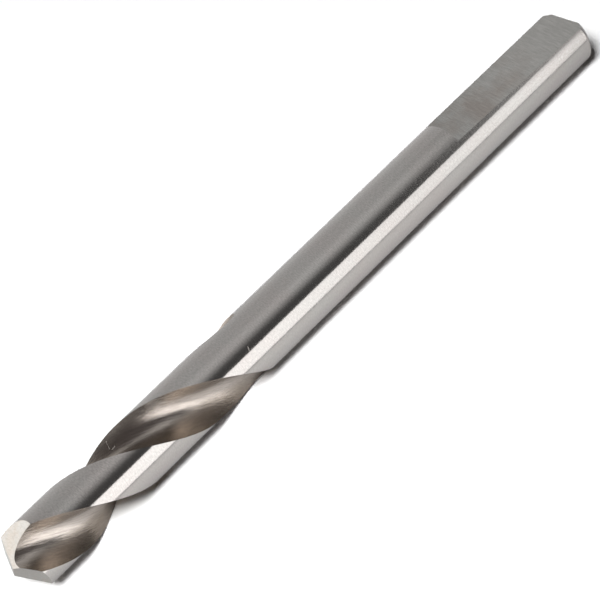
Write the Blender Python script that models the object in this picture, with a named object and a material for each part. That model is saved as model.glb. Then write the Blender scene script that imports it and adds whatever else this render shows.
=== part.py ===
# Hole saw pilot drill, one solid bar of high speed steel.
# It lies along X with its point towards -X, and the flat for the set screw faces up.
# The origin is on the surface it lies on, under the middle of the drill.
import math

import bmesh
import bpy
from mathutils import Matrix, Vector

MM = 0.001

# Bar
DRILL_LENGTH = 79.4 * MM
DRILL_DIAMETER = 6.35 * MM
BAR_SIDES = 96
END_CHAMFER = 0.55 * MM

# Flutes: two right-hand helical grooves, ground by a wheel that lifts out at their end
FLUTE_COUNT = 2
FLUTE_PITCH = 34.8 * MM
FLUTE_FULL_DEPTH_END = 23.5 * MM
WHEEL_RADIUS = 12.0 * MM
WHEEL_SET_OVER = 0.9
WEB_THICKNESS = 1.35 * MM
FLUTE_ANGLE = math.radians(96)
RAKE_REACH = 0.86
HEEL_REACH = 0.70
PROFILE_STEPS = 18
CLOSING_STEPS = 2
STATIONS_PER_TURN = 72

# Point: a planar flank behind each lip, and a steep notch behind each flank
POINT_ANGLE = math.radians(135)
LIP_RELIEF = math.radians(15)
FIRST_CORNER_ANGLE = math.radians(168.5)
LIP_OFFSET = 0.2 * MM
NOTCH_RELIEF = math.radians(55)
NOTCH_TURN = math.radians(-3)
NOTCH_SETBACK = 0.68 * MM

# Flat for the set screw
FLAT_LENGTH = 19.3 * MM
FLAT_DEPTH_AT_END = 1.25 * MM
FLAT_DEPTH_AT_START = 0.92 * MM

# How far cutters pass the bar's surface, and the angle from which an edge is shaded sharp
OVERCUT = 2.0 * MM
SHARP_ANGLE = math.radians(25)

BAR_RADIUS = DRILL_DIAMETER / 2
SIDE_TURN = 2 * math.pi / BAR_SIDES
AXIS_HEIGHT = BAR_RADIUS * math.cos(SIDE_TURN / 2)
POINT_X = -DRILL_LENGTH / 2
END_X = DRILL_LENGTH / 2
POINT_LENGTH = BAR_RADIUS / math.tan(POINT_ANGLE / 2)
CORNER_X = POINT_X + POINT_LENGTH
HELIX_ANGLE = math.atan(math.pi * DRILL_DIAMETER / FLUTE_PITCH)
FLUTE_FULL_DEPTH_X = POINT_X + FLUTE_FULL_DEPTH_END
PLANE_CUTTER_SIZE = DRILL_DIAMETER + POINT_LENGTH + 4 * OVERCUT


def clear_scene():
    for old in list(bpy.data.objects):
        bpy.data.objects.remove(old, do_unlink=True)


def add_object(name, bm):
    mesh = bpy.data.meshes.new(name)
    bmesh.ops.recalc_face_normals(bm, faces=bm.faces)
    bm.to_mesh(mesh)
    bm.free()
    made = bpy.data.objects.new(name, mesh)
    bpy.context.collection.objects.link(made)
    return made


def add_ring(bm, points):
    return [bm.verts.new(point) for point in points]


def skin_rings(bm, rings):
    """Join closed rings of vertices with quads, and cap the first and the last."""
    count = len(rings[0])
    for near, far in zip(rings, rings[1:]):
        for i in range(count):
            j = (i + 1) % count
            bm.faces.new((near[i], near[j], far[j], far[i]))
    bm.faces.new(rings[0])
    bm.faces.new(rings[-1])


def around_axis(x, radius, angle):
    """A point at a distance and an angle round the drill's axis, the angle from +Y towards +Z."""
    return Vector((x, radius * math.cos(angle), AXIS_HEIGHT + radius * math.sin(angle)))


def make_bar():
    """The turned bar, with a chamfer round its shank end and one narrow side facing down."""
    stations = [
        (POINT_X - OVERCUT, BAR_RADIUS),
        (END_X - END_CHAMFER, BAR_RADIUS),
        (END_X, BAR_RADIUS - END_CHAMFER),
    ]
    bm = bmesh.new()
    rings = []
    for x, radius in stations:
        ring = []
        for i in range(BAR_SIDES):
            ring.append(around_axis(x, radius, (i + 0.5) * SIDE_TURN))
        rings.append(add_ring(bm, ring))
    skin_rings(bm, rings)
    return add_object("pilot_drill", bm)


def flute_outline():
    """One flute in cross-section, with its cutting edge on +Y, as a curve closed outside the bar.

    The hollow is a cubic Bezier curve from the cutting edge to the heel, both of whose handles
    reach in towards the web. The closing points lie past the bar's surface.
    """
    edge = Vector((BAR_RADIUS, 0))
    heel = BAR_RADIUS * Vector((math.cos(FLUTE_ANGLE), -math.sin(FLUTE_ANGLE)))
    edge_handle = Vector((edge.x * (1 - RAKE_REACH), -WEB_THICKNESS / 2))
    heel_handle = heel * (1 - HEEL_REACH)
    hollow = []
    for i in range(PROFILE_STEPS + 1):
        t = i / PROFILE_STEPS
        s = 1 - t
        point = s ** 3 * edge + 3 * s * s * t * edge_handle + 3 * s * t * t * heel_handle + t ** 3 * heel
        hollow.append(point)
    outer = BAR_RADIUS + OVERCUT
    closing = []
    for i in range(CLOSING_STEPS + 1):
        angle = -FLUTE_ANGLE * (1 - i / CLOSING_STEPS)
        closing.append(outer * Vector((math.cos(angle), math.sin(angle))))
    return hollow + closing


def wheel_lift(x, across):
    """How far the grinding wheel has lifted out of the bar at a place on the flute.

    The wheel's disc is set over, so its rim leaves the cutting edge's side of the flute sooner
    than the heel's side. The second value is how far across the flute the place is, towards the
    cutting edge. Where the rim has passed the wheel's own radius it lifts no further.
    """
    past = x - FLUTE_FULL_DEPTH_X + across * WHEEL_SET_OVER
    along_wheel = min(max(0.0, past * math.cos(HELIX_ANGLE)), WHEEL_RADIUS)
    return WHEEL_RADIUS - math.sqrt(WHEEL_RADIUS ** 2 - along_wheel ** 2)


def make_flute_cutter(index):
    """A helical sweep of the flute's outline, which lifts out along the wheel's arc."""
    outline = flute_outline()
    outwards = Vector((math.cos(FLUTE_ANGLE / 2), -math.sin(FLUTE_ANGLE / 2)))
    to_edge = Vector((-outwards.y, outwards.x))
    start_x = POINT_X - OVERCUT
    run_out = math.sqrt(WHEEL_RADIUS ** 2 - (WHEEL_RADIUS - DRILL_DIAMETER) ** 2)
    end_x = FLUTE_FULL_DEPTH_X + run_out
    steps = math.ceil((end_x - start_x) / FLUTE_PITCH * STATIONS_PER_TURN)
    first_turn = FIRST_CORNER_ANGLE + index * 2 * math.pi / FLUTE_COUNT
    bm = bmesh.new()
    rings = []
    for step in range(steps + 1):
        x = start_x + (end_x - start_x) * step / steps
        turn = first_turn + 2 * math.pi * (x - CORNER_X) / FLUTE_PITCH
        spin = Matrix.Rotation(turn, 2)
        ring = []
        for point in outline:
            lift = wheel_lift(x, point.dot(to_edge))
            moved = spin @ (point + lift * outwards)
            ring.append(Vector((x, moved.x, AXIS_HEIGHT + moved.y)))
        rings.append(add_ring(bm, ring))
    skin_rings(bm, rings)
    return add_object("flute_cutter_%d" % (index + 1), bm)


def make_plane_cutter(name, on_plane, outward):
    """A block whose one face lies in a plane through a point, and which takes away what is outside."""
    bm = bmesh.new()
    bmesh.ops.create_cube(bm, size=PLANE_CUTTER_SIZE)
    normal = outward.normalized()
    turn = Vector((0, 0, 1)).rotation_difference(normal).to_matrix().to_4x4()
    place = Matrix.Translation(on_plane + normal * PLANE_CUTTER_SIZE / 2) @ turn
    bmesh.ops.transform(bm, matrix=place, verts=bm.verts)
    return add_object(name, bm)


def make_point_cutters(index):
    """The flank behind one lip and the notch behind that flank, each a plane.

    Along the lip the flank runs back at half the point angle. Across it, it falls away behind
    the lip by the relief angle. The notch falls away more steeply, from a line behind the centre.
    """
    corner_turn = FIRST_CORNER_ANGLE + index * 2 * math.pi / FLUTE_COUNT
    turn = corner_turn + math.asin(LIP_OFFSET / BAR_RADIUS)
    along_lip = Vector((0, math.cos(turn), math.sin(turn)))
    behind_lip = Vector((0, -math.sin(turn), math.cos(turn)))
    forward = Vector((-1, 0, 0))
    tip = Vector((POINT_X, 0, AXIS_HEIGHT))
    slope = 1 / math.tan(POINT_ANGLE / 2)
    flank = forward + slope * along_lip + math.tan(LIP_RELIEF) * behind_lip
    notch_way = math.cos(NOTCH_TURN) * behind_lip + math.sin(NOTCH_TURN) * along_lip
    notch = forward + math.tan(NOTCH_RELIEF) * notch_way
    notch_start = tip + NOTCH_SETBACK * notch_way
    return [
        make_plane_cutter("flank_cutter_%d" % (index + 1), tip, flank),
        make_plane_cutter("notch_cutter_%d" % (index + 1), notch_start, notch),
    ]


def make_flat_cutter():
    """The flat for the set screw, a little deeper towards the shank's end."""
    slope = (FLAT_DEPTH_AT_START - FLAT_DEPTH_AT_END) / FLAT_LENGTH
    bar_top = AXIS_HEIGHT + BAR_RADIUS
    start_x = END_X - FLAT_LENGTH
    start_z = bar_top - FLAT_DEPTH_AT_START
    far_x = END_X + OVERCUT
    far_z = start_z + slope * (far_x - start_x)
    clear_z = bar_top + OVERCUT
    corners = [(start_x, start_z), (far_x, far_z), (far_x, clear_z), (start_x, clear_z)]
    bm = bmesh.new()
    rings = []
    for y in (-BAR_RADIUS - OVERCUT, BAR_RADIUS + OVERCUT):
        rings.append(add_ring(bm, [Vector((x, y, z)) for x, z in corners]))
    skin_rings(bm, rings)
    return add_object("flat_cutter", bm)


def cut(body, cutters):
    """Cut the body by each cutter in turn, keep the result as its mesh, and remove the cutters."""
    for cutter in cutters:
        step = body.modifiers.new(cutter.name, "BOOLEAN")
        step.operation = "DIFFERENCE"
        step.solver = "EXACT"
        step.object = cutter
    evaluated = body.evaluated_get(bpy.context.evaluated_depsgraph_get())
    body.data = bpy.data.meshes.new_from_object(evaluated)
    body.modifiers.clear()
    for cutter in cutters:
        bpy.data.objects.remove(cutter, do_unlink=True)


def steel_material():
    """Ground high speed steel, bare and slightly warm."""
    material = bpy.data.materials.new("ground_steel")
    material.use_nodes = True
    shader = material.node_tree.nodes["Principled BSDF"]
    shader.inputs["Base Color"].default_value = (0.42, 0.40, 0.38, 1)
    shader.inputs["Metallic"].default_value = 1.0
    shader.inputs["Roughness"].default_value = 0.3
    return material


def main():
    clear_scene()
    drill = make_bar()
    cutters = [make_flute_cutter(index) for index in range(FLUTE_COUNT)]
    for index in range(FLUTE_COUNT):
        cutters += make_point_cutters(index)
    cutters.append(make_flat_cutter())
    cut(drill, cutters)
    drill.data.materials.append(steel_material())
    drill.data.shade_smooth()
    drill.data.set_sharp_from_angle(angle=SHARP_ANGLE)


main()
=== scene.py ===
import math

import bpy
import numpy as np
from mathutils import Matrix, Vector


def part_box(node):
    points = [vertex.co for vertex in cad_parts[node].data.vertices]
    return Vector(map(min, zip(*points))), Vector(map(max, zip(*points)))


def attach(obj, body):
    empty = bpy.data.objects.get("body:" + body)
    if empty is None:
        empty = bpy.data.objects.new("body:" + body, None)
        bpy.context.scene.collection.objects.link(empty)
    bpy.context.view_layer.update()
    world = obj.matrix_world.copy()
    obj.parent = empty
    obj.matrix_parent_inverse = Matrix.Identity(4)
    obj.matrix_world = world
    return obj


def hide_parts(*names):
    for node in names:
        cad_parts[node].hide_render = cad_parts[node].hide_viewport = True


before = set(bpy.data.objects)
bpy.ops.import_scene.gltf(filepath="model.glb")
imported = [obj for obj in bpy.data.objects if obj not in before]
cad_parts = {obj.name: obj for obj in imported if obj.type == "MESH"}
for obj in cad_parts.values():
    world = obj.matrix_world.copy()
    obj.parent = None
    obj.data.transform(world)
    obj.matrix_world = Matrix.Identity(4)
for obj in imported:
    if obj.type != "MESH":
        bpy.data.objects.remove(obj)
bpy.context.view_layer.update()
mm = 0.001
node = "pilot_drill"
lowCorner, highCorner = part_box(node)
print("frame loaded:", node, "is", round((highCorner.x - lowCorner.x) / mm, 2), "mm long")


def linearColour(hexText):
    # sRGB hex to linear: c / 12.92 up to 0.04045, and ((c + 0.055) / 1.055) ^ 2.4 above it
    channels = [int(hexText[i:i + 2], 16) / 255 for i in (1, 3, 5)]
    return tuple(c / 12.92 if c <= 0.04045 else ((c + 0.055) / 1.055) ** 2.4 for c in channels) + (1,)


def addNode(tree, kind, settings=None, links=None):
    # settings maps a property, a socket or "stops" to its value, links maps a socket to what feeds it
    made = tree.nodes.new("ShaderNode" + kind)
    for key, value in (settings or {}).items():
        if key == "stops":
            ramp = made.color_ramp
            while len(ramp.elements) < len(value):
                ramp.elements.new(1)
            for element, (place, colour) in zip(ramp.elements, value):
                element.position = place
                element.color = colour if isinstance(colour, tuple) else (colour, colour, colour, 1)
        elif isinstance(key, str) and hasattr(made, key):
            setattr(made, key, value)
        else:
            made.inputs[key].default_value = value
    for key, source in (links or {}).items():
        tree.links.new(source, made.inputs[key])
    return made


def newMaterial(name):
    # a material whose node tree starts empty
    material = bpy.data.materials.new(name)
    material.use_nodes = True
    material.node_tree.nodes.clear()
    return material, material.node_tree


def tubeObject(name, rings, material):
    # rings is an array (stations, around, 3): quads join neighbouring rings, and each end gets a cap
    stations, around = rings.shape[:2]
    row = np.arange(stations - 1)[:, None] * around
    here = row + np.arange(around)
    beside = row + (np.arange(around) + 1) % around
    quads = np.stack([here, beside, beside + around, here + around], -1).reshape(-1, 4)
    nearCap = list(range(around))[::-1]
    farCap = list(range((stations - 1) * around, stations * around))
    mesh = bpy.data.meshes.new(name)
    mesh.from_pydata(rings.reshape(-1, 3), [], quads.tolist() + [nearCap, farCap])
    mesh.materials.append(material)
    mesh.shade_smooth()
    made = bpy.data.objects.new(name, mesh)
    bpy.context.scene.collection.objects.link(made)
    return made


# The drill's shape, in the same sizes as the CAD part and with finer facets
drillShape = {
    "length": highCorner.x - lowCorner.x,
    "radius": (highCorner.z - lowCorner.z) / 2,
    "diameter": 6.35 * mm,
    "sides": 360,
    "endChamfer": 0.55 * mm,
    "endRounding": 0.16 * mm,
    "roundingSteps": 4,
    "overcut": 2 * mm,
    "flutePitch": 34.8 * mm,
    "fluteFullDepthEnd": 23.5 * mm,
    "wheelRadius": 12 * mm,
    "setOver": 0.9,
    "web": 1.35 * mm,
    "fluteAngle": math.radians(96),
    "rakeReach": 0.86,
    "heelReach": 0.70,
    "hollowSteps": 56,
    "closingSteps": 4,
    "stationGap": 0.16 * mm,
    "pointAngle": math.radians(135),
    "lipRelief": math.radians(15),
    "cornerAngle": math.radians(168.5),
    "lipOffset": 0.2 * mm,
    "notchRelief": math.radians(55),
    "notchTurn": math.radians(-3),
    "notchSetback": 0.68 * mm,
    "blockReach": 1.6,
    "flatLength": 19.3 * mm,
    "flatDepthAtEnd": 1.25 * mm,
    "flatDepthAtStart": 0.92 * mm,
    "sharpAngle": math.radians(22),
}
s = drillShape
barRadius = s["diameter"] / 2
axisHeight = s["radius"]
pointX = -s["length"] / 2
endX = s["length"] / 2
cornerX = pointX + barRadius / math.tan(s["pointAngle"] / 2)
helixAngle = math.atan(math.pi * s["diameter"] / s["flutePitch"])


def barRings():
    # a profile of (x, radius) turned about the drill's axis; each corner of the chamfer is an arc of
    # 45 degrees, and its ends lie rounding * tan(22.5 degrees) from where the sharp corner would be
    rounding = s["endRounding"]
    swing = np.linspace(0, math.pi / 4, s["roundingSteps"] + 1)
    sideways = rounding * np.sin(swing)
    inwards = rounding * (1 - np.cos(swing))
    setback = rounding * math.tan(math.pi / 8)
    shoulderX = endX - s["endChamfer"] - setback
    rimRadius = s["radius"] - s["endChamfer"] - setback
    start = np.array([[pointX - s["overcut"], s["radius"]]])
    shoulder = np.stack([shoulderX + sideways, s["radius"] - inwards], -1)
    rim = np.stack([endX - inwards, rimRadius + sideways], -1)[::-1]
    profile = np.concatenate([start, shoulder, rim])
    angle = (np.arange(s["sides"]) + 0.5) * 2 * math.pi / s["sides"]
    x = np.broadcast_to(profile[:, :1], (len(profile), s["sides"]))
    y = profile[:, 1:] * np.cos(angle)
    z = axisHeight + profile[:, 1:] * np.sin(angle)
    return np.stack([x, y, z], -1)


def fluteOutline():
    # a cubic Bezier from the cutting edge on +Y to the heel, closed by an arc outside the bar
    edge = np.array([barRadius, 0])
    heel = barRadius * np.array([math.cos(s["fluteAngle"]), -math.sin(s["fluteAngle"])])
    edgeHandle = np.array([barRadius * (1 - s["rakeReach"]), -s["web"] / 2])
    heelHandle = heel * (1 - s["heelReach"])
    t = np.linspace(0, 1, s["hollowSteps"] + 1)[:, None]
    hollow = (1 - t) ** 3 * edge + 3 * (1 - t) ** 2 * t * edgeHandle
    hollow = hollow + 3 * (1 - t) * t ** 2 * heelHandle + t ** 3 * heel
    swing = -s["fluteAngle"] * (1 - np.linspace(0, 1, s["closingSteps"] + 1))
    closing = (barRadius + s["overcut"]) * np.stack([np.cos(swing), np.sin(swing)], -1)
    return np.concatenate([hollow, closing])


# In the flute's cross-section, the way out of the bar and the way towards the cutting edge
outwards = np.array([math.cos(s["fluteAngle"] / 2), -math.sin(s["fluteAngle"] / 2)])
toEdge = np.array([-outwards[1], outwards[0]])


def fluteTurn(x, index):
    # how far a flute has turned about the axis at x: one turn for each pitch, half a turn between the two
    return s["cornerAngle"] + index * math.pi + 2 * math.pi * (x - cornerX) / s["flutePitch"]


def fluteRings(index):
    # the outline carried along the helix; past its full depth it lifts out on the grinding wheel's arc,
    # by wheelRadius - sqrt(wheelRadius^2 - along^2), sooner on its cutting edge by the set-over slope
    outline = fluteOutline()
    fullDepthX = pointX + s["fluteFullDepthEnd"]
    startX = pointX - s["overcut"]
    stopX = fullDepthX + math.sqrt(s["wheelRadius"] ** 2 - (s["wheelRadius"] - s["diameter"]) ** 2)
    x = np.linspace(startX, stopX, int((stopX - startX) / s["stationGap"]))[:, None]
    past = x - fullDepthX + (outline @ toEdge) * s["setOver"]
    along = np.clip(past * math.cos(helixAngle), 0, s["wheelRadius"])
    lift = s["wheelRadius"] - np.sqrt(s["wheelRadius"] ** 2 - along ** 2)
    flatY = outline[:, 0] + lift * outwards[0]
    flatZ = outline[:, 1] + lift * outwards[1]
    turn = fluteTurn(x, index)
    y = flatY * np.cos(turn) - flatZ * np.sin(turn)
    z = axisHeight + flatY * np.sin(turn) + flatZ * np.cos(turn)
    return np.stack([np.broadcast_to(x, y.shape), y, z], -1)


def planeRings(spot, outward):
    # a square block that stands on a plane through spot and fills what lies outwards of it
    outward = outward / np.linalg.norm(outward)
    anyOtherWay = (0.3, 0.5, 0.8)
    sideA = np.cross(outward, anyOtherWay)
    sideA = sideA / np.linalg.norm(sideA)
    sideB = np.cross(outward, sideA)
    reach = s["blockReach"] * s["diameter"]
    square = np.array([(-1, -1), (1, -1), (1, 1), (-1, 1)]) * reach
    base = spot + square[:, :1] * sideA + square[:, 1:] * sideB
    return np.stack([base, base + 2 * reach * outward])


def pointPlanes(index):
    # the flank runs back along its lip at half the point angle and falls away behind it by the relief;
    # the notch falls away more steeply from a line behind the centre
    turn = s["cornerAngle"] + index * math.pi + math.asin(s["lipOffset"] / barRadius)
    alongLip = np.array([0, math.cos(turn), math.sin(turn)])
    behindLip = np.array([0, -math.sin(turn), math.cos(turn)])
    forward = np.array([-1, 0, 0])
    tip = np.array([pointX, 0, axisHeight])
    flank = forward + alongLip / math.tan(s["pointAngle"] / 2) + math.tan(s["lipRelief"]) * behindLip
    notchWay = math.cos(s["notchTurn"]) * behindLip + math.sin(s["notchTurn"]) * alongLip
    notch = forward + math.tan(s["notchRelief"]) * notchWay
    return (tip, flank), (tip + s["notchSetback"] * notchWay, notch)


def flatRings():
    # a wedge over the flat, drawn in x and z and carried across the bar
    barTop = axisHeight + barRadius
    slope = (s["flatDepthAtStart"] - s["flatDepthAtEnd"]) / s["flatLength"]
    startX = endX - s["flatLength"]
    startZ = barTop - s["flatDepthAtStart"]
    farX = endX + s["overcut"]
    farZ = startZ + slope * (farX - startX)
    clearZ = barTop + s["overcut"]
    corners = np.array([(startX, 0, startZ), (startX, 0, clearZ), (farX, 0, clearZ), (farX, 0, farZ)])
    across = np.array([0, barRadius + s["overcut"], 0])
    return np.stack([corners - across, corners + across])


# The small marks that the photo shows: two on the flute's wall and one on the shank.
# Each has its start and end in mm, the way out of the steel there, and its share of the full groove's size.
scratchLook = {"depth": 0.05 * mm, "width": 0.18 * mm, "steel": "#F2EEE9", "roughness": 0.6}
scratches = [
    ((-24.99, 2.42, 4.64), (-25.30, 1.78, 4.20), (-0.4, -0.35, 0.85), 0.75),
    ((-25.20, 1.56, 4.17), (-24.80, 1.50, 4.29), (-0.31, -0.28, 0.91), 1.0),
    ((-10.06, -2.28, 5.38), (-10.25, -2.53, 5.06), (0, -0.76, 0.65), 0.42),
]


def scratchRings(start, end, outward, size):
    # a shallow groove: a triangle carried from start to end, with its point one depth under the surface
    # and its base two depths above it
    start, end, outward = (np.array(v, float) for v in (start, end, outward))
    start, end = start * mm, end * mm
    beside = np.cross(end - start, outward)
    beside = beside / np.linalg.norm(beside) * scratchLook["width"] * size
    depth = scratchLook["depth"] * size
    rim = 2 * depth * outward
    triangle = np.stack([-depth * outward, rim - beside, rim + beside])
    return np.stack([start + triangle, end + triangle])


# Finishes. Real grinding lines lie about 0.02 mm apart, finer than the render can show, so they are all
# drawn coarser, from 0.13 to 0.19 mm apart.
# Two noises are shared by all: lines and patches, each with the span that is spread over its effect
noiseLook = {
    "lines": {"Scale": 1, "Detail": 3, "Roughness": 0.65}, "grainSpan": (0.3, 0.7),
    "patches": {"Detail": 4, "Roughness": 0.6}, "patchSpan": (0.4, 0.65),
}
# The shank is centreless ground: a bright mirror with fine hoops, whose grain softens its long streaks
shankLook = {
    "steel": "#B6B3B0", "tint": "#B7AFAC", "roughness": 0.11,
    "acrossLines": 0.13 * mm, "alongLines": 0.32 * mm, "relief": 0.0045 * mm, "grain": 0.1,
    "patch": 5 * mm, "patchDepth": 0.45,
}
# The flutes are wheel ground: satin, with long lines that feather the highlight, and a warm straw tint
# by the place across the flute in mm, which fades out where the wheel lifts. That tint is partly heat tint
# and partly painted warm reflection: strongest on one side of the flute, some on the other, and nearly none
# near its middle, where the highlight falls
fluteLook = {
    "steel": "#B9B1AA", "tint": "#9F9489", "roughness": 0.26,
    "acrossLines": 0.19 * mm, "alongLines": 2.5 * mm, "relief": 0.026 * mm, "grain": 0.14,
    "patch": 3 * mm, "patchDepth": 0.2, "lineSlope": 0.35, "cleanFrom": (-10 * mm, -4 * mm),
    # the reach and the stops below place the tint across the flute in mm: partly heat tint, partly painted
    # warm reflection
    "tintReach": 3.0,
    "tintAndPaintedReflection": [
        (-2.6, 0.1), (-2.0, 0.3), (-1.4, 0.35), (-0.8, 0.1), (0.1, 0.0), (0.7, 0.55), (1.3, 0.9), (2.6, 0.9),
    ],
}
# The flat is surface ground: a duller grey with slanted lines across it and faint brown patches that fade
# towards the shank's end
flatLook = {
    "steel": "#A6A5A2", "tint": "#98908A", "roughness": 0.17,
    "acrossLines": 0.18 * mm, "alongLines": 1.6 * mm, "relief": 0.004 * mm, "grain": 0.1,
    "patch": 3 * mm, "patchDepth": 0.75, "slant": math.radians(7), "cleanFrom": (28 * mm, 36 * mm),
}
# The point is tool ground: the brightest and plainest steel, with short lines that hardly show
pointLook = {
    "steel": "#BDBAB5", "tint": "#BDB3A9", "roughness": 0.22,
    "acrossLines": 0.15 * mm, "alongLines": 0.5 * mm, "relief": 0.004 * mm, "grain": 0.07,
    "patch": 2 * mm, "patchDepth": 0.6,
}


def scaledLay(tree, places, look):
    # the lay of the grinding lines: fine across them and long along them, in units of one noise feature;
    # where only two places are given, the noise is read in one plane
    joined = addNode(tree, "CombineXYZ", links=places)
    size = (1 / look["acrossLines"], 1 / look["alongLines"], 1 / look["acrossLines"])
    return addNode(tree, "VectorMath", {"operation": "MULTIPLY", 1: size}, {0: joined.outputs[0]}).outputs[0]


def hoopLay(tree, spot, look):
    # lines run round the bar: x is across them, the arc length from the top is along them
    split = addNode(tree, "SeparateXYZ", links={0: spot})
    height = addNode(tree, "Math", {"operation": "SUBTRACT", 1: axisHeight}, {0: split.outputs["Z"]})
    angle = addNode(tree, "Math", {"operation": "ARCTAN2"}, {0: split.outputs["Y"], 1: height.outputs[0]})
    arc = addNode(tree, "Math", {"operation": "MULTIPLY", 1: barRadius}, {0: angle.outputs[0]})
    return scaledLay(tree, {0: split.outputs["X"], 1: arc.outputs[0]}, look)


def untwist(tree, spot):
    # the part is turned back by one turn for each pitch, so that both flutes lie straight, one facing +y
    # and one facing -y; the result is the place's coordinates before and after, and which way its flute faces
    start = s["fluteAngle"] / 2 - s["cornerAngle"] + 2 * math.pi * cornerX / s["flutePitch"]
    split = addNode(tree, "SeparateXYZ", links={0: spot})
    turn = addNode(tree, "Math", {"operation": "MULTIPLY_ADD", 1: -2 * math.pi / s["flutePitch"], 2: start},
                   {0: split.outputs["X"]})
    untwisted = addNode(tree, "VectorRotate", {"rotation_type": "X_AXIS", "Center": (0, 0, axisHeight)},
                        {"Vector": spot, "Angle": turn.outputs[0]})
    straight = addNode(tree, "SeparateXYZ", links={0: untwisted.outputs[0]})
    facing = addNode(tree, "Math", {"operation": "SIGN"}, {0: straight.outputs["Y"]})
    return split, straight, facing


def fluteLay(tree, spot, look):
    # the wheel stands askew in the flute, so its lines climb across it along x
    split, straight, facing = untwist(tree, spot)
    climb = addNode(tree, "Math", {"operation": "MULTIPLY", 1: -look["lineSlope"]}, {0: split.outputs["X"]})
    across = addNode(tree, "Math", {"operation": "MULTIPLY_ADD"}, {
        0: climb.outputs[0], 1: facing.outputs[0], 2: straight.outputs["Z"],
    })
    return scaledLay(tree, {0: across.outputs[0], 1: straight.outputs["X"], 2: straight.outputs["Y"]}, look)


def slantLay(tree, spot, look):
    # lines run across the bar, a little slanted
    turned = addNode(tree, "VectorRotate", {"rotation_type": "Z_AXIS", "Angle": look.get("slant", 0)},
                     {"Vector": spot})
    split = addNode(tree, "SeparateXYZ", links={0: turned.outputs[0]})
    return scaledLay(tree, {0: split.outputs["X"], 1: split.outputs["Y"], 2: split.outputs["Z"]}, look)


def addTintAndPaintedReflection(tree, spot, share, look):
    # a tint by the place across the flute, added to the patches' share, most towards the cutting edge: partly
    # heat from the wheel, partly painted warm reflection, which is nearly nil near the middle, where the
    # highlight falls
    split, straight, facing = untwist(tree, spot)
    height = addNode(tree, "Math", {"operation": "SUBTRACT", 1: axisHeight}, {0: straight.outputs["Z"]})
    across = addNode(tree, "Math", {"operation": "MULTIPLY"}, {0: height.outputs[0], 1: facing.outputs[0]})
    reach = look["tintReach"]
    place = addNode(tree, "MapRange", {1: -reach * mm, 2: reach * mm, 3: 0, 4: 1}, {0: across.outputs[0]})
    stops = [((x + reach) / (2 * reach), level) for x, level in look["tintAndPaintedReflection"]]
    tintAndPaintedReflection = addNode(tree, "ValToRGB", {"stops": stops}, {0: place.outputs[0]})
    return addNode(tree, "Math", {"operation": "ADD", "use_clamp": True},
                   {0: share.outputs[0], 1: tintAndPaintedReflection.outputs[0]})


def fadeTint(tree, spot, share, look):
    # the tint fades out along x between the two places of cleanFrom
    startX, cleanX = look["cleanFrom"]
    along = addNode(tree, "SeparateXYZ", links={0: spot})
    left = addNode(tree, "MapRange", {1: startX, 2: cleanX, 3: 1, 4: 0}, {0: along.outputs["X"]})
    return addNode(tree, "Math", {"operation": "MULTIPLY"}, {0: share.outputs[0], 1: left.outputs[0]})


def groundSteel(name, look, lay):
    # bare ground steel: fine lines break up the mirror, patches of a faint tint lie under them
    material, tree = newMaterial(name)
    spot = addNode(tree, "TexCoord").outputs["Object"]
    lines = addNode(tree, "TexNoise", noiseLook["lines"], {"Vector": lay(tree, spot, look)})
    patches = addNode(tree, "TexNoise", {"Scale": 1 / look["patch"], **noiseLook["patches"]},
                      {"Vector": spot})
    least, most = noiseLook["patchSpan"]
    share = addNode(tree, "MapRange", {1: least, 2: most, 3: 0, 4: look["patchDepth"]},
                    {0: patches.outputs[0]})
    # for the flutes: a tint across the flute, partly heat tint and partly painted warm reflection
    if "tintAndPaintedReflection" in look:
        share = addTintAndPaintedReflection(tree, spot, share, look)
    if "cleanFrom" in look:
        share = fadeTint(tree, spot, share, look)
    tinted = addNode(tree, "Mix", {
        "data_type": "RGBA", 6: linearColour(look["steel"]), 7: linearColour(look["tint"]),
    }, {0: share.outputs[0]})
    least, most = noiseLook["grainSpan"]
    grain = addNode(tree, "MapRange", {1: least, 2: most, 3: 1 - look["grain"], 4: 1 + look["grain"]},
                    {0: lines.outputs[0]})
    grained = addNode(tree, "VectorMath", {"operation": "SCALE"},
                      {0: tinted.outputs[2], "Scale": grain.outputs[0]})
    relief = addNode(tree, "Bump", {"Strength": 1, "Distance": look["relief"]}, {"Height": lines.outputs[0]})
    shader = addNode(tree, "BsdfPrincipled", {"Metallic": 1, "Roughness": look["roughness"]},
                     {"Base Color": grained.outputs[0], "Normal": relief.outputs[0]})
    addNode(tree, "OutputMaterial", links={"Surface": shader.outputs["BSDF"]})
    return material


shankSteel = groundSteel("centrelessGroundSteel", shankLook, hoopLay)
fluteSteel = groundSteel("flutedSteel", fluteLook, fluteLay)
flatSteel = groundSteel("surfaceGroundSteel", flatLook, slantLay)
pointSteel = groundSteel("pointGroundSteel", pointLook, slantLay)

# A scratch is torn steel: pale and matt, so that it shows as a light tick against the mirror
scratchSteel, tree = newMaterial("scratchedSteel")
shader = addNode(tree, "BsdfPrincipled", {
    "Metallic": 1, "Roughness": scratchLook["roughness"], "Base Color": linearColour(scratchLook["steel"]),
})
addNode(tree, "OutputMaterial", links={"Surface": shader.outputs["BSDF"]})
print("finishes made:", [material.name for material in bpy.data.materials if material.name.endswith("Steel")])

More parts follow.
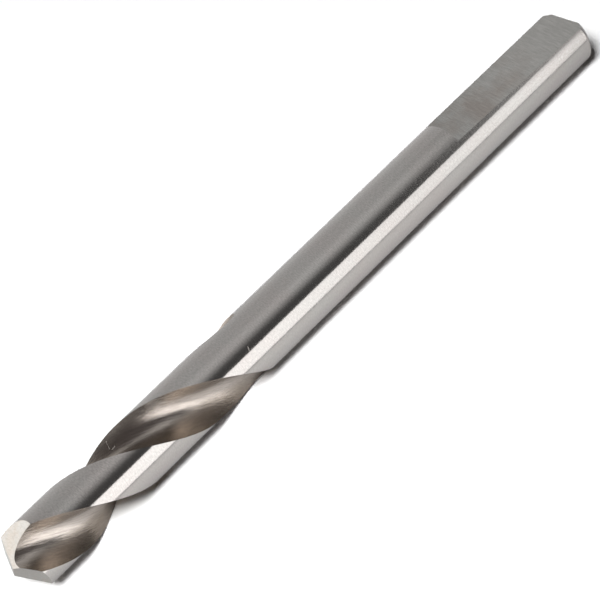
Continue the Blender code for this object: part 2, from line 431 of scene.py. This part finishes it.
# The drill: each cutter takes its shape out of the bar and leaves its own finish on the cut
drill = tubeObject("groundPilotDrill", barRings(), shankSteel)
cutters = [tubeObject("fluteCutter%d" % index, fluteRings(index), fluteSteel) for index in (0, 1)]
for index in (0, 1):
    for spot, outward in pointPlanes(index):
        cutters.append(tubeObject("pointCutter%d" % len(cutters), planeRings(spot, outward), pointSteel))
cutters.append(tubeObject("flatCutter", flatRings(), flatSteel))
for scratch in scratches:
    cutters.append(tubeObject("scratchCutter%d" % len(cutters), scratchRings(*scratch), scratchSteel))
for cutter in cutters:
    step = drill.modifiers.new(cutter.name, "BOOLEAN")
    step.operation = "DIFFERENCE"
    step.solver = "EXACT"
    step.material_mode = "TRANSFER"
    step.object = cutter
drill.data = bpy.data.meshes.new_from_object(drill.evaluated_get(bpy.context.evaluated_depsgraph_get()))
drill.modifiers.clear()
for cutter in cutters:
    bpy.data.objects.remove(cutter)
drill.data.set_sharp_from_angle(angle=s["sharpAngle"])


def roundNormals(mesh):
    # a cut leaves long thin faces on the round bar, so the normals of the shank's finish are set to point
    # straight out from the axis, apart from those of the chamfer and the end, whose faces look along x
    points = np.empty(len(mesh.vertices) * 3, np.float32)
    mesh.vertices.foreach_get("co", points)
    corners = np.empty(len(mesh.loops), np.int32)
    mesh.loops.foreach_get("vertex_index", corners)
    normals = np.empty(len(mesh.loops) * 3, np.float32)
    mesh.corner_normals.foreach_get("vector", normals)
    faces = np.empty(len(mesh.polygons) * 3, np.float32)
    mesh.polygons.foreach_get("normal", faces)
    counts = np.empty(len(mesh.polygons), np.int32)
    mesh.polygons.foreach_get("loop_total", counts)
    slots = np.empty(len(mesh.polygons), np.int32)
    mesh.polygons.foreach_get("material_index", slots)
    points = points.reshape(-1, 3)[corners]
    normals = normals.reshape(-1, 3)
    mostTilt = 0.02
    turned = np.repeat((slots == 0) & (np.abs(faces.reshape(-1, 3)[:, 0]) < mostTilt), counts)
    spokes = points - (0, 0, axisHeight)
    spokes[:, 0] = 0
    spokes /= np.linalg.norm(spokes, axis=1)[:, None] + 1e-12
    normals[turned] = spokes[turned]
    mesh.normals_split_custom_set(normals.tolist())


roundNormals(drill.data)
print("drill cut:", len(drill.data.polygons), "faces in", len(drill.data.materials), "finishes")
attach(drill, "root")
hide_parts(node)

# The floor is plain white paper. The steel mirrors it with painted levels of its own, by Is Glossy Ray:
# painted
# reflection and painted shade, fitted to the bands in the photo's steel, and no lamp here makes them. Lengths
# are in mm:
# mirrorStops gives the painted level along y, lowest under the drill as a painted shadow, and dimSpan and
# fadeSpan how it darkens along x; past brightFrom, nearer the camera, a painted glow makes it shine as lit
# paper would, and tipShift moves that edge by the tip; at a grazing angle it has paper's sheen, which mirrors
# the softbox.
floorLook = {
    "size": 4.0, "lift": -0.02 * mm, "paper": "#FFFFFF",
    "mirrorSpan": (-24, 10),
    "mirrorStops": [
        (-24, 0.75), (-17.4, 0.75), (-16.4, 0.55), (-13.2, 0.55), (-12, 0.86), (-9.5, 0.9), (-6.5, 0.87),
        (-5.2, 0.8), (-4.4, 0.74), (-3.4, 0.65), (-2.6, 0.5), (2, 0.5), (6, 0.7),
    ],
    "dimSpan": (24, 50), "dimLeft": 0.8,
    "brightFrom": (-16.8, -17.8), "brightLift": 1.15, "tipSpan": (-25, -32), "tipShift": 8.5,
    "fadeSpan": (12, 50), "fadeLeft": 0.4,
    "sheenFrom": (0.66, 0.78), "sheenMost": 0.93, "sheenRoughness": 0.08,
}
paper, tree = newMaterial("whitePaper")
path = addNode(tree, "LightPath")
place = addNode(tree, "TexCoord")
split = addNode(tree, "SeparateXYZ", links={0: place.outputs["Object"]})
nearTip = addNode(tree, "MapRange", {
    "interpolation_type": "SMOOTHSTEP", 1: floorLook["tipSpan"][0] * mm, 2: floorLook["tipSpan"][1] * mm,
    3: 0, 4: floorLook["tipShift"] * mm,
}, {0: split.outputs["X"]})
away = addNode(tree, "Math", {"operation": "SUBTRACT"}, {0: split.outputs["Y"], 1: nearTip.outputs[0]})
nearY, farY = floorLook["mirrorSpan"]
along = addNode(tree, "MapRange", {1: nearY * mm, 2: farY * mm, 3: 0, 4: 1}, {0: split.outputs["Y"]})
stops = [((y - nearY) / (farY - nearY), level) for y, level in floorLook["mirrorStops"]]
levels = addNode(tree, "ValToRGB", {"stops": stops}, {0: along.outputs[0]})
bright = addNode(tree, "MapRange", {
    1: floorLook["brightFrom"][0] * mm, 2: floorLook["brightFrom"][1] * mm, 3: 0, 4: floorLook["brightLift"],
}, {0: away.outputs[0]})
fade = addNode(tree, "MapRange", {
    1: floorLook["fadeSpan"][0] * mm, 2: floorLook["fadeSpan"][1] * mm, 3: 1, 4: floorLook["fadeLeft"],
}, {0: split.outputs["X"]})
faded = addNode(tree, "Math", {"operation": "MULTIPLY"}, {0: bright.outputs[0], 1: fade.outputs[0]})
dim = addNode(tree, "MapRange", {
    1: floorLook["dimSpan"][0] * mm, 2: floorLook["dimSpan"][1] * mm, 3: 1, 4: floorLook["dimLeft"],
}, {0: split.outputs["X"]})
dimmed = addNode(tree, "VectorMath", {"operation": "SCALE"}, {0: levels.outputs[0], "Scale": dim.outputs[0]})
# seen in the steel: the painted levels, lit by the lamps, and past brightFrom a painted glow that no lamp
# gives
paintedLevelsLamplit = addNode(tree, "BsdfDiffuse", links={"Color": dimmed.outputs[0]})
shine = addNode(tree, "Emission", {"Color": (1, 1, 1, 1)}, {"Strength": faded.outputs[0]})
paperSeen = addNode(tree, "AddShader", links={0: paintedLevelsLamplit.outputs[0], 1: shine.outputs[0]})
sheen = addNode(tree, "BsdfGlossy", {"Color": (1, 1, 1, 1), "Roughness": floorLook["sheenRoughness"]})
grazing = addNode(tree, "LayerWeight", {"Blend": 0.5})
sheenShare = addNode(tree, "MapRange", {
    "interpolation_type": "SMOOTHSTEP", 1: floorLook["sheenFrom"][0], 2: floorLook["sheenFrom"][1],
    3: 0, 4: floorLook["sheenMost"],
}, {0: grazing.outputs["Facing"]})
mirrored = addNode(tree, "MixShader", links={
    0: sheenShare.outputs[0], 1: paperSeen.outputs[0], 2: sheen.outputs[0],
})
lit = addNode(tree, "BsdfDiffuse", {"Color": linearColour(floorLook["paper"])})
whole = addNode(tree, "MixShader", links={
    0: path.outputs["Is Glossy Ray"], 1: lit.outputs[0], 2: mirrored.outputs[0],
})
addNode(tree, "OutputMaterial", links={"Surface": whole.outputs[0]})
half = floorLook["size"] / 2
corners = np.array([(-half, -half), (half, -half), (half, half), (-half, half)])
floorMesh = bpy.data.meshes.new("floor")
floorMesh.from_pydata(np.insert(corners, 2, floorLook["lift"], axis=1), [], [(0, 1, 2, 3)])
floorMesh.materials.append(paper)
floor = bpy.data.objects.new("floor", floorMesh)
bpy.context.scene.collection.objects.link(floor)
print("floor laid:", floorLook["size"], "m across")

# The studio round the drill is what the steel mirrors, and the camera sees plain white instead. Its levels
# are fitted to the bands in the photo's steel too. A way out of the drill has an angle in
# degrees round the drill's axis, from +y at 0 over straight up at 90 to -y at 180, and a reach, which is
# its x part. The tent is white cloth by the angle, with a dark gap towards the camera. The near wall
# takes over at a small reach and the far wall at a great one, sooner overhead by farSooner. A light seam
# stands just before the far wall, and a tip light past the drill's point.
studioLook = {
    "tent": [
        (-20, 0.7), (10, 0.7), (28, 0.62), (40, 0.58), (75, 0.58), (97, 0.7), (108, 0.62), (120, 0.36),
        (130, 0.14), (138, 0.09), (150, 0.09),
    ],
    "nearReach": (0.16, 0.26),
    "nearWall": [(35, (0.58, 0.57, 0.56, 1)), (66, (0.11, 0.1, 0.1, 1))],
    "tipReach": (-0.6, -0.66), "tipLevel": 0.5,
    "seamReach": (0.475, 0.52), "seamLevel": 0.95,
    "farReach": (0.53, 0.59),
    "farSooner": [(54, 0.0), (64, 0.065), (112, 0.065), (124, 0.0)],
    "farLevels": [
        (0.54, 0.2), (0.62, 0.42), (0.72, 0.4), (0.8, 0.26), (0.87, 0.17), (0.93, 0.12), (1.0, 0.1),
    ],
    "farColour": [(0, (1, 0.94, 0.9, 1)), (145, (1, 0.94, 0.9, 1)), (158, (0.56, 0.53, 0.52, 1))],
}


def byAngle(stops):
    # stops in degrees, placed from 0 to 1 over the range from -180 to 180
    return [(0.5 + degrees / 360, level) for degrees, level in stops]


world = bpy.data.worlds.new("studio")
bpy.context.scene.world = world
world.use_nodes = True
tree = world.node_tree
tree.nodes.clear()
place = addNode(tree, "TexCoord")
way = addNode(tree, "SeparateXYZ", links={0: place.outputs["Generated"]})
angle = addNode(tree, "Math", {"operation": "ARCTAN2"}, {0: way.outputs["Z"], 1: way.outputs["Y"]})
share = addNode(tree, "MapRange", {1: -math.pi, 2: math.pi, 3: 0, 4: 1}, {0: angle.outputs[0]})
tent = addNode(tree, "ValToRGB", {"stops": byAngle(studioLook["tent"])}, {0: share.outputs[0]})
nearWall = addNode(tree, "ValToRGB", {"stops": byAngle(studioLook["nearWall"])}, {0: share.outputs[0]})
nearSide = addNode(tree, "MapRange", {
    "interpolation_type": "SMOOTHSTEP", 1: studioLook["nearReach"][0], 2: studioLook["nearReach"][1],
    3: 0, 4: 1,
}, {0: way.outputs["X"]})
nearTent = addNode(tree, "Mix", {"data_type": "RGBA"},
                   {0: nearSide.outputs[0], 6: nearWall.outputs[0], 7: tent.outputs[0]})
tipSide = addNode(tree, "MapRange", {
    "interpolation_type": "SMOOTHSTEP", 1: studioLook["tipReach"][0], 2: studioLook["tipReach"][1],
    3: 0, 4: studioLook["tipLevel"],
}, {0: way.outputs["X"]})
tipTent = addNode(tree, "Mix", {"data_type": "RGBA", "blend_type": "LIGHTEN", 0: 1.0},
                  {6: nearTent.outputs[2], 7: tipSide.outputs[0]})
seamSide = addNode(tree, "MapRange", {
    1: studioLook["seamReach"][0], 2: studioLook["seamReach"][1], 3: 0, 4: studioLook["seamLevel"],
}, {0: way.outputs["X"]})
seamTent = addNode(tree, "Mix", {"data_type": "RGBA", "blend_type": "LIGHTEN", 0: 1.0},
                   {6: tipTent.outputs[2], 7: seamSide.outputs[0]})
sooner = addNode(tree, "ValToRGB", {"stops": byAngle(studioLook["farSooner"])}, {0: share.outputs[0]})
farWay = addNode(tree, "Math", {"operation": "ADD"}, {0: way.outputs["X"], 1: sooner.outputs[0]})
farSide = addNode(tree, "MapRange", {
    "interpolation_type": "SMOOTHSTEP", 1: studioLook["farReach"][0], 2: studioLook["farReach"][1],
    3: 0, 4: 1,
}, {0: farWay.outputs[0]})
farLevels = addNode(tree, "ValToRGB", {"stops": studioLook["farLevels"]}, {0: way.outputs["X"]})
farColour = addNode(tree, "ValToRGB", {"stops": byAngle(studioLook["farColour"])}, {0: share.outputs[0]})
farWall = addNode(tree, "VectorMath", {"operation": "MULTIPLY"},
                  {0: farLevels.outputs[0], 1: farColour.outputs[0]})
room = addNode(tree, "Mix", {"data_type": "RGBA"},
               {0: farSide.outputs[0], 6: seamTent.outputs[2], 7: farWall.outputs[0]})
path = addNode(tree, "LightPath")
shown = addNode(tree, "Mix", {"data_type": "RGBA", 7: (1, 1, 1, 1)},
                {0: path.outputs["Is Camera Ray"], 6: room.outputs[2]})
sky = addNode(tree, "Background", {"Strength": 1}, {"Color": shown.outputs[2]})
addNode(tree, "OutputWorld", links={"Surface": sky.outputs[0]})
# The studio is only mirrored: the lamps alone light the paper
world.cycles_visibility.diffuse = False

# The lamps, in metres. The front one is the long white strip on the drill, and dims from one side to the
# other, by its own width from 0 to 1. The back one lights what faces away from the camera. The overhead
# one lights the paper and casts the drill's shadow.
lampLook = {
    "frontSoftbox": {
        "centre": (0.135, -1.0, 0.235), "target": (0.135, 0, 0.235), "size": (1.07, 0.47), "radiance": 2.0,
        "fade": [(0.0, 1.0), (0.68, 1.0), (0.76, 0.92), (0.83, 0.82), (0.93, 0.68), (1.0, 0.6)],
    },
    "backSoftbox": {
        "centre": (-0.30, 0.47, 0.25), "target": (0, 0, 0), "size": (0.22, 0.22), "radiance": 1.2,
    },
    "overheadSoftbox": {
        "centre": (-0.47, -0.33, 0.81), "target": (0, 0, 0), "size": (0.29, 0.29), "radiance": 51,
    },
}


def softbox(name):
    # an area lamp whose surface shines at the given radiance: power = radiance * pi * area
    look = lampLook[name]
    lamp = bpy.data.lights.new(name, "AREA")
    lamp.shape = "RECTANGLE"
    lamp.size, lamp.size_y = look["size"]
    lamp.energy = look["radiance"] * math.pi * look["size"][0] * look["size"][1]
    made = bpy.data.objects.new(name, lamp)
    made.location = look["centre"]
    facing = Vector(look["target"]) - Vector(look["centre"])
    made.rotation_euler = facing.to_track_quat("-Z", "Y").to_euler()
    made.visible_camera = False
    bpy.context.scene.collection.objects.link(made)
    return made


# The front softbox is only mirrored, so it lights no paper and casts no shadow
front = softbox("frontSoftbox")
front.visible_diffuse = False
front.data.use_nodes = True
tree = front.data.node_tree
tree.nodes.clear()
surface = addNode(tree, "NewGeometry")
split = addNode(tree, "SeparateXYZ", links={0: surface.outputs["Parametric"]})
level = addNode(tree, "ValToRGB", {"stops": lampLook["frontSoftbox"]["fade"]}, {0: split.outputs["X"]})
shine = addNode(tree, "Emission", {"Color": (1, 1, 1, 1)}, {"Strength": level.outputs[0]})
addNode(tree, "OutputLight", links={"Surface": shine.outputs[0]})
softbox("backSoftbox")
# The overhead one stays out of the mirrors, as it is small and strong
overhead = softbox("overheadSoftbox")
overhead.visible_glossy = False
print("studio lit:", len(lampLook), "softboxes")

# The camera
cameraView = {
    "spot": Vector((-89.25, -150.14, 151.83)) * mm,
    "aim": Vector((-2.204, -1.114, 3.173)) * mm,
    "roll": math.radians(-23.34),
    "lens": 145.0,
    "shift": (-0.0045, 0.0064),
}
cameraData = bpy.data.cameras.new("camera")
cameraData.sensor_width = 36
cameraData.lens = cameraView["lens"]
cameraData.shift_x, cameraData.shift_y = cameraView["shift"]
cameraData.clip_start = 0.01
camera = bpy.data.objects.new("camera", cameraData)
camera.location = cameraView["spot"]
aimed = (cameraView["aim"] - cameraView["spot"]).to_track_quat("-Z", "Y").to_matrix()
camera.rotation_euler = (aimed @ Matrix.Rotation(cameraView["roll"], 3, "Z")).to_euler()
bpy.context.scene.collection.objects.link(camera)
bpy.context.scene.camera = camera
print("camera set:", round(camera.location.length / mm), "mm from the drill, lens", cameraData.lens, "mm")

bpy.context.scene.view_settings.view_transform = "Standard"
